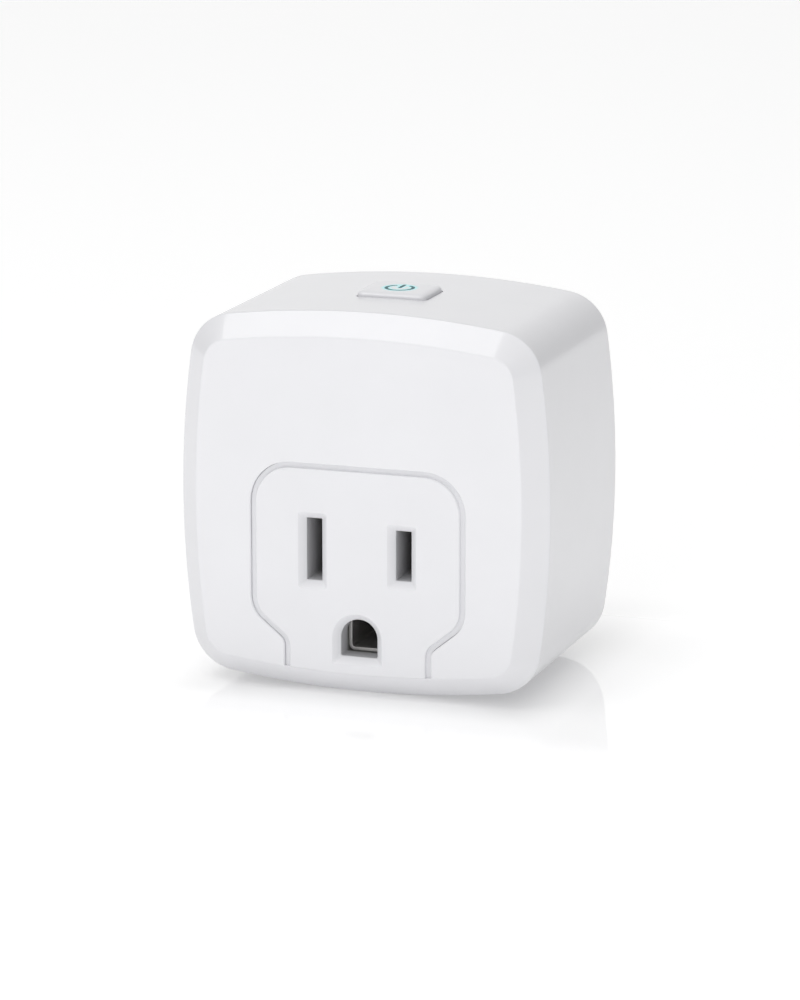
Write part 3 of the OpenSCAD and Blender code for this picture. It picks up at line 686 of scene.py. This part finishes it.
def make_cover():
    """The back plate with its prong slots, screw seats and a plain label recess."""
    inset = WALL + COVER_SEAM
    edge = 0.2
    profile = rounded_path(
        [(COVER_FRONT, inset + 3), (COVER_FRONT, inset), (0, inset), (0, inset + 3)],
        [edge, edge],
        4,
    )
    cover = loft("back_cover", [body_ring(y, i) for y, i in profile[1:-1]])
    cuts = []
    slot_path = [(-4, 0.05), (-0.3, 0.05), (-0.001, 0.3), (CUT_OVER, 0.9)]
    for x, width in ((-SLOT_X, NEUTRAL_BLADE_W), (SLOT_X, HOT_BLADE_W)):
        cuts.append(loft("blade_slot", [
            rect_ring(x, SLOT_Z, y, BLADE_T + 2 * grow, width + 2 * grow, 0.3)
            for y, grow in slot_path
        ]))
    cuts.append(rod((0, GROUND_Z), PIN_HOLE_R, -0.25, CUT_OVER, 64))
    seat = [(-4, 1.3), (-1.3, 1.3), (-1.3, 2.3), (-0.25, 2.3), (0.02, 2.55), (CUT_OVER, 2.55)]
    cuts += [lathe("screw_seat", seat, centre) for centre in boss_centres()]
    label_path = [(-0.3, 0), (-0.12, 0), (0.001, 0.12), (CUT_OVER, 0.12)]
    label_z, label_w, label_h = 12, 26, 12
    cuts.append(loft("label", [
        rect_ring(0, label_z, y, label_w + 2 * grow, label_h + 2 * grow, 1.5 + grow, 8)
        for y, grow in label_path
    ]))
    boolean(cover, cuts)
    return cover


def make_blade(name, x, width):
    """A flat blade with eased edges, a tapered tip and its hole, and the foot that holds it."""
    t = BLADE_T
    end = BLADE_END
    tip = 1.6
    ease = 0.22
    taper = [
        (PRONG_FOOT, 0), (end - tip, 0), (end - tip * 0.45, 0.28), (end - 0.25, 0.62), (end, 0.86),
    ]
    blade = loft(name, [
        rect_ring(x, SLOT_Z, y, t - 0.9 * k * t * 0.7, width - 2.6 * k, ease, 4) for y, k in taper
    ])
    hole_y = 11.7
    hole_r = 1.6
    chamfer = 0.2
    hole_path = [
        (-2, chamfer), (-t / 2 - 0.001, chamfer), (-t / 2 + chamfer, 0),
        (t / 2 - chamfer, 0), (t / 2 + 0.001, chamfer), (2, chamfer),
    ]
    boolean(blade, [loft("hole", [
        [
            (x + dx, hole_y + (hole_r + dr) * math.cos(a), SLOT_Z + (hole_r + dr) * math.sin(a))
            for a in full_turn(48)
        ]
        for dx, dr in hole_path
    ])])
    foot = loft("foot", [
        rect_ring(x, SLOT_Z, y, t + 2, width + 1, 0.3) for y in (PRONG_FOOT, PRONG_SEAT)
    ])
    tab = loft("tab", [rect_ring(x, SLOT_Z, y, t, 4, 0.2) for y in (-9.1, -3.1)])
    return boolean(blade, [foot, tab], "UNION")


def make_ground_pin():
    """A round prong with a domed end on a riveted shank."""
    r = PIN_R
    rivet_r = 2.9
    smallest = 0.02
    profile = [(PRONG_FOOT, rivet_r - 0.5), (-3.0, rivet_r - 0.15), (-2.6, rivet_r)]
    profile += [(PRONG_SEAT, rivet_r), (PRONG_SEAT, SHANK_R), (-0.2, SHANK_R)]
    profile += [(-0.2, r - 0.15), (-0.05, r), (PIN_END - r, r)]
    profile += [
        (PIN_END - r + r * math.sin(a), max(r * math.cos(a), smallest))
        for a in np.linspace(0, math.pi / 2, 12)[1:]
    ]
    return lathe("ground_prong", profile, (0, GROUND_Z), 72)


def make_cover_screws():
    """Four sunk pan-head screws with a hex recess."""
    rim_r = 0.35
    profile = [(-9.2, 0.25), (-8.1, 1.1), (-1.35, 1.1), (-1.3, 2.0), (-0.55, 2.0)]
    profile += [
        (-0.55 + rim_r * math.sin(a), 1.65 + rim_r * math.cos(a))
        for a in np.linspace(0.2, math.pi / 2, 6)
    ]
    key_profile = [(-0.85, 0.75), (-0.3, 0.75), (-0.19, 0.84), (0.4, 0.84)]
    whole = None
    for centre in boss_centres():
        screw = lathe("screw", profile, centre, 48)
        boolean(screw, [lathe("key", key_profile, centre, 6)])
        whole = screw if whole is None else join(whole, screw)
    whole.name = "cover_screw_set"
    return whole


def join(a, b):
    """Puts two meshes in one object, as separate solids."""
    bm = bmesh.new()
    bm.from_mesh(a.data)
    bm.from_mesh(b.data)
    bm.to_mesh(a.data)
    bm.free()
    mesh = b.data
    bpy.data.objects.remove(b)
    bpy.data.meshes.remove(mesh)
    return a


def make_ground_contact():
    """The sprung box behind the ground hole, its lip rolled and its top split."""
    low, high = node_box("ground_contact")
    width = high.x - low.x
    t = 0.52
    corner = 0.9
    smallest_corner = 0.25
    lip = 0.12
    back = high.y
    profile = rounded_path([(back, 0), (low.y, 0), (low.y, t), (back - t, t)], [lip, lip], 4)
    rings = []
    for y, inset in profile:
        side = width - 2 * inset
        rings.append(
            rect_ring(0, GROUND_Z, y, side, side, max(corner - inset, smallest_corner), 8)
        )
    contact = loft("ground_spring", rings)
    split_w = 0.5
    split = loft("split", [
        rect_ring(0, GROUND_Z + 2.5, y, split_w, 5, 0.05) for y in (low.y - 1, back - 2)
    ])
    return boolean(contact, [split])


# ---------------------------------------------------------------- materials

class Nodes:
    """A small helper that builds one material's node tree."""

    def __init__(self, name):
        self.material = bpy.data.materials.new(name)
        self.material.use_nodes = True
        self.tree = self.material.node_tree
        self.shader = self.tree.nodes["Principled BSDF"]

    def add(self, kind, settings=None, **inputs):
        node = self.tree.nodes.new(kind)
        for key, value in (settings or {}).items():
            setattr(node, key, value)
        for key, value in inputs.items():
            self.plug(node, key, value)
        return node

    def plug(self, node, key, value):
        """Sets a socket by its name, or by its place where the key is i and a number."""
        place = int(key[1:]) if key[1:].isdigit() else key.replace("_", " ")
        socket = node.inputs[place]
        if isinstance(value, bpy.types.NodeSocket):
            self.tree.links.new(value, socket)
        else:
            socket.default_value = value

    def set(self, **inputs):
        for key, value in inputs.items():
            self.plug(self.shader, key, value)

    def position(self):
        return self.add("ShaderNodeTexCoord").outputs["Object"]

    def scaled(self, scale):
        """Object coordinates stretched by three factors, per metre."""
        mapping = self.add("ShaderNodeMapping", Vector=self.position(), Scale=scale)
        return mapping.outputs["Vector"]

    def noise(self, scale, detail=2.0, roughness=0.5, vector=None):
        node = self.add(
            "ShaderNodeTexNoise", Vector=vector or self.position(),
            Scale=scale, Detail=detail, Roughness=roughness,
        )
        return node.outputs["Fac"]

    def ramp(self, value, stops):
        node = self.add("ShaderNodeValToRGB", Fac=value)
        elements = node.color_ramp.elements
        while len(elements) < len(stops):
            elements.new(0.5)
        for element, (at, colour) in zip(elements, stops):
            element.position = at
            element.color = (*colour, 1)
        return node.outputs["Color"]

    def spread(self, value, low, high):
        """Maps 0..1 to a range."""
        node = self.add("ShaderNodeMapRange", Value=value, To_Min=low, To_Max=high)
        return node.outputs["Result"]

    def smooth(self, value, start, end, low=0.0, high=1.0):
        """Goes from low to high, smoothly, as a value goes from start to end."""
        node = self.add(
            "ShaderNodeMapRange", {"interpolation_type": "SMOOTHSTEP"},
            Value=value, From_Min=start, From_Max=end, To_Min=low, To_Max=high,
        )
        return node.outputs["Result"]

    def math(self, operation, a, b=0.0):
        node = self.add("ShaderNodeMath", {"operation": operation})
        self.plug(node, "i0", a)
        self.plug(node, "i1", b)
        return node.outputs[0]

    def mix(self, fac, a, b, blend="MIX"):
        node = self.add("ShaderNodeMix", {"data_type": "RGBA", "blend_type": blend})
        self.plug(node, "i0", fac)
        self.plug(node, "i6", a)
        self.plug(node, "i7", b)
        return node.outputs[2]

    def bump(self, height, distance):
        node = self.add("ShaderNodeBump", Height=height, Distance=distance, Strength=1.0)
        return node.outputs["Normal"]


def shift(colour, amount):
    return tuple(max(0.0, c * (1 + amount)) for c in colour)


def moulded(name, colour, roughness, grain=0.0000025, mottle=0.01, coat=0.0, painted_depth_shade=None):
    """Moulded plastic: a fine surface texture, faint flow mottling and uneven polish.

    The last argument, (front, back, stops), is painted shade: grey levels that multiply the
    plastic's colour between two depths, in mm, so that the walls of holes darken further in.
    """
    n = Nodes(name)
    broad = n.noise(90, 3)
    skin = n.ramp(broad, [(0.3, shift(colour, -mottle)), (0.7, shift(colour, mottle))])
    # Painted shade: the colour darkens with depth behind the front face, standing in for the shade
    # inside holes.
    if painted_depth_shade:
        depth = n.add("ShaderNodeSeparateXYZ", Vector=n.position()).outputs["Y"]
        inside = n.add(
            "ShaderNodeMapRange", Value=depth, From_Min=painted_depth_shade[0] * MM, From_Max=painted_depth_shade[1] * MM
        )
        painted_shades = n.ramp(inside.outputs["Result"], [(at, (shade,) * 3) for at, shade in painted_depth_shade[2]])
        skin = n.mix(1.0, skin, painted_shades, "MULTIPLY")
    n.set(
        Base_Color=skin,
        Roughness=n.spread(n.noise(420, 4), roughness * 0.88, roughness * 1.12),
        Normal=n.bump(n.noise(2600, 4, 0.6), grain),
    )
    n.shader.inputs["IOR"].default_value = 1.5
    if coat:
        n.shader.inputs["Coat Weight"].default_value = coat
        n.shader.inputs["Coat Roughness"].default_value = 0.12
    return n


def metal(name, colour, roughness, along=(1, 0.02, 1), streak=3500):
    """Plated metal with fine lines along one direction and faint tarnish."""
    n = Nodes(name)
    lines = n.noise(streak, 3, 0.6, n.scaled(along))
    tarnish = n.noise(260, 4, 0.6)
    n.set(
        Base_Color=n.ramp(tarnish, [(0.3, shift(colour, -0.08)), (0.7, shift(colour, 0.05))]),
        Roughness=n.spread(lines, roughness * 0.75, roughness * 1.3),
        Normal=n.bump(lines, 0.0000012),
    )
    n.shader.inputs["Metallic"].default_value = 1.0
    return n


def make_materials():
    white = (0.86, 0.86, 0.885)
    made = {
        "shell_white": moulded("shell_white", white, 0.4, coat=0.6),
        # The panel's slot and hole walls get painted shade that darkens with depth.
        "panel_white": moulded("panel_white", white, 0.55, painted_depth_shade=(
            FACE_Y, FACE_Y + 8, [(0.0, 1.0), (0.1, 0.92), (0.15, 0.66), (0.5, 0.64), (0.9, 0.36)],
        )),
        "cover_white": moulded("cover_white", (0.8, 0.8, 0.82), 0.5, grain=0.000012, mottle=0.015),
        "button_white": lit_button("button_white", white),
        "carrier_plastic": moulded("carrier_plastic", (0.45, 0.45, 0.44), 0.45, 0.000004, 0.05),
        "relay_black": moulded("relay_black", (0.02, 0.022, 0.025), 0.42, 0.000005, 0.15),
        "film_yellow": moulded("film_yellow", (0.72, 0.45, 0.05), 0.38, 0.000004, 0.06),
        "varistor_blue": moulded("varistor_blue", (0.02, 0.09, 0.32), 0.25, 0.00001, 0.15),
        "fuse_green": moulded("fuse_green", (0.08, 0.22, 0.11), 0.55, 0.00001, 0.15),
        "chip_black": moulded("chip_black", (0.018, 0.018, 0.02), 0.5, 0.000006, 0.2),
        "plunger_black": moulded("plunger_black", (0.012, 0.012, 0.014), 0.45, 0.000004, 0.2),
        "choke_ferrite": moulded("choke_ferrite", (0.045, 0.035, 0.03), 0.6, 0.00001, 0.3),
        "wire_red": moulded("wire_red", (0.42, 0.015, 0.012), 0.4, 0.000004, 0.08),
        "prong_metal": metal("prong_metal", (0.66, 0.64, 0.6), 0.24),
        "contact_brass": metal("contact_brass", (0.62, 0.42, 0.17), 0.3),
        "ground_metal": metal("ground_metal", (0.62, 0.61, 0.6), 0.5),
        "copper_strap": metal("copper_strap", (0.6, 0.32, 0.16), 0.32),
        "screw_steel": metal("screw_steel", (0.5, 0.5, 0.52), 0.3, (1, 1, 1), 1500),
        "shield_tin": metal("shield_tin", (0.6, 0.6, 0.6), 0.35),
        "trace_gold": metal("trace_gold", (0.8, 0.52, 0.15), 0.25, (1, 1, 1)),
        "can_aluminium": moulded("can_aluminium", (0.015, 0.02, 0.07), 0.3, 0.000003, 0.1),
        "board_green": board("board_green", (0.006, 0.09, 0.03)),
        "board_blue": board("board_blue", (0.006, 0.02, 0.12)),
        "clear_guide": clear(),
        "icon_cyan": icon_light(),
        "led_white": moulded("led_white", (0.8, 0.82, 0.7), 0.3),
    }
    return {slot: n.material for slot, n in made.items()}


def board(name, colour):
    """Solder mask over a glass weave, with faint tracks beneath it."""
    n = Nodes(name)
    weave = n.add(
        "ShaderNodeTexWave", {"wave_type": "BANDS"}, Vector=n.position(),
        Scale=900.0, Distortion=0.4,
    )
    tracks = n.add(
        "ShaderNodeTexVoronoi", {"feature": "DISTANCE_TO_EDGE", "distance": "MANHATTAN"},
        Vector=n.position(), Scale=420.0,
    )
    line = n.math("LESS_THAN", tracks.outputs["Distance"], 0.08)
    n.set(
        Base_Color=n.mix(line, (*colour, 1), (*shift(colour, 0.6), 1)),
        Roughness=n.spread(n.noise(300, 3), 0.25, 0.4),
        Normal=n.bump(weave.outputs["Fac"], 0.000004),
    )
    return n


def clear():
    """Clear acrylic with faint haze."""
    n = Nodes("clear_guide")
    n.set(
        Roughness=n.spread(n.noise(300, 3), 0.05, 0.14),
        Normal=n.bump(n.noise(1500, 3), 0.000002),
    )
    n.shader.inputs["Base Color"].default_value = (0.85, 0.95, 0.97, 1)
    n.shader.inputs["Transmission Weight"].default_value = 0.9
    n.shader.inputs["IOR"].default_value = 1.49
    return n


def lit_button(name, colour):
    """The cap's plastic, with light from the mark spreading a little way round its lines."""
    n = moulded(name, colour, 0.3)
    place = n.add("ShaderNodeSeparateXYZ", Vector=n.position())
    x = place.outputs["X"]
    y = n.math("SUBTRACT", place.outputs["Y"], BUTTON_Y * MM)
    away = n.math("SQRT", n.math("ADD", n.math("MULTIPLY", x, x), n.math("MULTIPLY", y, y)))
    off_ring = n.math("ABSOLUTE", n.math("SUBTRACT", away, (ICON_D - ICON_LINE) / 2 * MM))
    bar_half = ICON_D / 4 * MM
    past_end = n.math("SUBTRACT", n.math("ABSOLUTE", n.math("SUBTRACT", y, bar_half)), bar_half)
    off_bar = n.math("ADD", n.math("ABSOLUTE", x), n.math("MAXIMUM", past_end, 0.0))
    nearest = n.math("MINIMUM", off_ring, off_bar)
    spread = n.smooth(nearest, 0.2 * MM, 0.95 * MM, 1.0, 0.0)
    high = n.math("GREATER_THAN", place.outputs["Z"], (BUTTON_TOP - 0.1) * MM)
    glow = n.math("MULTIPLY", spread, high)
    skin = n.shader.inputs["Base Color"].links[0].from_socket
    n.set(
        Base_Color=n.mix(glow, skin, (0.5, 0.88, 0.9, 1)),
        Emission_Color=n.mix(glow, (0, 0, 0, 1), (0.0, 0.08, 0.085, 1)),
    )
    n.shader.inputs["Emission Strength"].default_value = 1.0
    return n


def icon_light():
    """Translucent teal lit from below, a little uneven along each line."""
    n = Nodes("icon_cyan")
    glow = n.ramp(n.noise(700, 3), [(0.3, (0.003, 0.055, 0.07)), (0.7, (0.008, 0.1, 0.115))])
    n.set(
        Base_Color=glow,
        Roughness=n.spread(n.noise(900, 2), 0.3, 0.45),
        Emission_Color=glow,
    )
    n.shader.inputs["Specular IOR Level"].default_value = 0.1
    n.shader.inputs["Emission Strength"].default_value = 0.3
    return n


# ---------------------------------------------------------------- camera, floor and light

def make_camera():
    """At the photograph's viewing angle: from above and to the right of the front."""
    data = bpy.data.cameras.new("camera")
    data.lens = 164.2
    data.sensor_width = 36
    data.clip_start = 0.01
    data.clip_end = 20
    camera = bpy.data.objects.new("camera", data)
    scene.collection.objects.link(camera)
    camera.location = (0.19917, -0.59323, 0.14086)
    yaw = math.radians(19.04)
    pitch = math.radians(13.24)
    forward = Vector((
        -math.sin(yaw) * math.cos(pitch), math.cos(yaw) * math.cos(pitch), -math.sin(pitch),
    ))
    camera.rotation_mode = "QUATERNION"
    camera.rotation_quaternion = forward.to_track_quat("-Z", "Y")
    scene.camera = camera


def make_floor():
    """A white floor just under the plug: polished and shaded near it, satin and bright beyond."""
    reach = 3.0
    half_width = 0.026
    half_depth = 0.017
    z = cad_box[0].z - 0.00002
    mesh = bpy.data.meshes.new("floor")
    mesh.from_pydata(
        [(-reach, -reach, z), (reach, -reach, z), (reach, reach, z), (-reach, reach, z)],
        [], [(0, 1, 2, 3)],
    )
    floor = link("floor", mesh)
    n = Nodes("floor_white")
    place = n.add("ShaderNodeSeparateXYZ", Vector=n.position())
    x = place.outputs["X"]
    y = place.outputs["Y"]
    off_x = n.math("ABSOLUTE", x)
    off_y = n.math("ABSOLUTE", n.math("ADD", y, half_depth))
    away = n.math(
        "MAXIMUM", n.math("SUBTRACT", off_x, half_width), n.math("SUBTRACT", off_y, half_depth)
    )
    under = n.math("MULTIPLY", n.smooth(y, -0.042, -0.033), n.smooth(off_x, 0.03, 0.02))
    under = n.math("MULTIPLY", under, n.smooth(y, 0.03, 0.0))
    shaded = n.math("MULTIPLY", under, 0.12)
    glow = n.math("SUBTRACT", n.smooth(away, 0.004, 0.035, 0.3, 0.38), shaded)
    glow = n.math("ADD", glow, n.smooth(y, -0.042, -0.06, 0.0, 0.12))
    glow = n.math("ADD", glow, n.smooth(x, 0.02, 0.034, 0.0, 0.03))
    n.set(Roughness=n.smooth(away, 0.011, 0.028, 0.05, 0.5), Emission_Strength=glow)
    n.shader.inputs["Base Color"].default_value = (0.76, 0.76, 0.76, 1)
    n.shader.inputs["Emission Color"].default_value = (1, 1, 1, 1)
    n.shader.inputs["IOR"].default_value = 1.7
    mesh.materials.append(n.material)


def area_light(name, location, target, size, power):
    data = bpy.data.lights.new(name, "AREA")
    data.shape = "DISK"
    data.size = size
    data.energy = power
    light = bpy.data.objects.new(name, data)
    scene.collection.objects.link(light)
    light.location = location
    aim = Vector(target) - Vector(location)
    light.rotation_mode = "QUATERNION"
    light.rotation_quaternion = aim.to_track_quat("-Z", "Y")
    return light


def make_sky():
    """A soft white studio: brightest in front and above, with a bright wall behind."""
    lobes = [
        ((0.15, 0, 1), 3, 0.6), ((0, -0.7, 0.7), 3, 0.25), ((0, -1, 0.1), 3, 0.68),
        ((0.55, -0.83, 0.2), 3, 0.32), ((-1, 0, 0.2), 3, 0.03), ((-0.31, 0.93, 0.2), 4, 0.86),
    ]
    base = 0.1
    world = bpy.data.worlds.new("studio")
    world.use_nodes = True
    tree = world.node_tree
    background = tree.nodes["Background"]
    background.inputs["Color"].default_value = (1, 1, 1, 1)
    direction = tree.nodes.new("ShaderNodeTexCoord").outputs["Generated"]

    def calculate(operation, a, b):
        node = tree.nodes.new("ShaderNodeMath")
        node.operation = operation
        for socket, value in zip(node.inputs, (a, b)):
            if isinstance(value, bpy.types.NodeSocket):
                tree.links.new(value, socket)
            else:
                socket.default_value = value
        return node.outputs[0]

    total = None
    for axis, power, strength in lobes:
        dot = tree.nodes.new("ShaderNodeVectorMath")
        dot.operation = "DOT_PRODUCT"
        tree.links.new(direction, dot.inputs[0])
        dot.inputs[1].default_value = Vector(axis).normalized()
        facing = calculate("MAXIMUM", dot.outputs["Value"], 0.0)
        lobe = calculate("MULTIPLY", calculate("POWER", facing, power), strength)
        total = calculate("ADD", lobe, base if total is None else total)
    tree.links.new(total, background.inputs["Strength"])
    scene.world = world


def make_lights():
    make_sky()
    middle = (0, -0.016, 0)
    area_light("overhead_softbox", (-0.25, -0.2, 0.74), middle, 0.48, 1.56)
    scene.view_settings.view_transform = "Standard"
    scene.view_settings.look = "None"


# ---------------------------------------------------------------- the plug

def dress_nodes(materials):
    """Gives every CAD node that still shows the material of its slot."""
    slots = {part["node"]: part["material_slot"] for part in frame["record"]["subparts"]}
    for name, obj in frame["nodes"].items():
        if obj.hide_render:
            continue
        obj.data.materials.clear()
        obj.data.materials.append(materials[slots[name]])


def main():
    make_camera()
    make_floor()
    make_lights()
    materials = make_materials()

    def finish(obj, body, slot, node):
        return finish_piece(obj, body, slot, materials[slot], node)

    finish(make_shell(), "casing", "shell_white", "front_housing")
    finish(make_panel(), "casing", "panel_white", "outlet_insert")
    finish(make_cover(), "casing", "cover_white", "rear_cover")
    hot = make_blade("hot_prong", SLOT_X, HOT_BLADE_W)
    finish(hot, "casing", "prong_metal", "hot_blade")
    neutral = make_blade("neutral_prong", -SLOT_X, NEUTRAL_BLADE_W)
    finish(neutral, "casing", "prong_metal", "neutral_blade")
    finish(make_ground_pin(), "casing", "prong_metal", "ground_pin")
    finish(make_cover_screws(), "casing", "screw_steel", "cover_screws")
    finish(make_ground_contact(), "casing", "ground_metal", "ground_contact")
    finish(make_button(), "button", "button_white", "button_cap")
    icon = icon_solid(ICON_LINE - 0.02, BUTTON_TOP - ICON_DEPTH + 0.01, BUTTON_TOP - 0.02)
    icon.name = "power_mark"
    finish(icon, "button", "icon_cyan", "icon_lens")
    dome = finish(make_dome(), "casing", "ground_metal", "switch_dome")
    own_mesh(dome)
    dress_nodes(materials)


main()
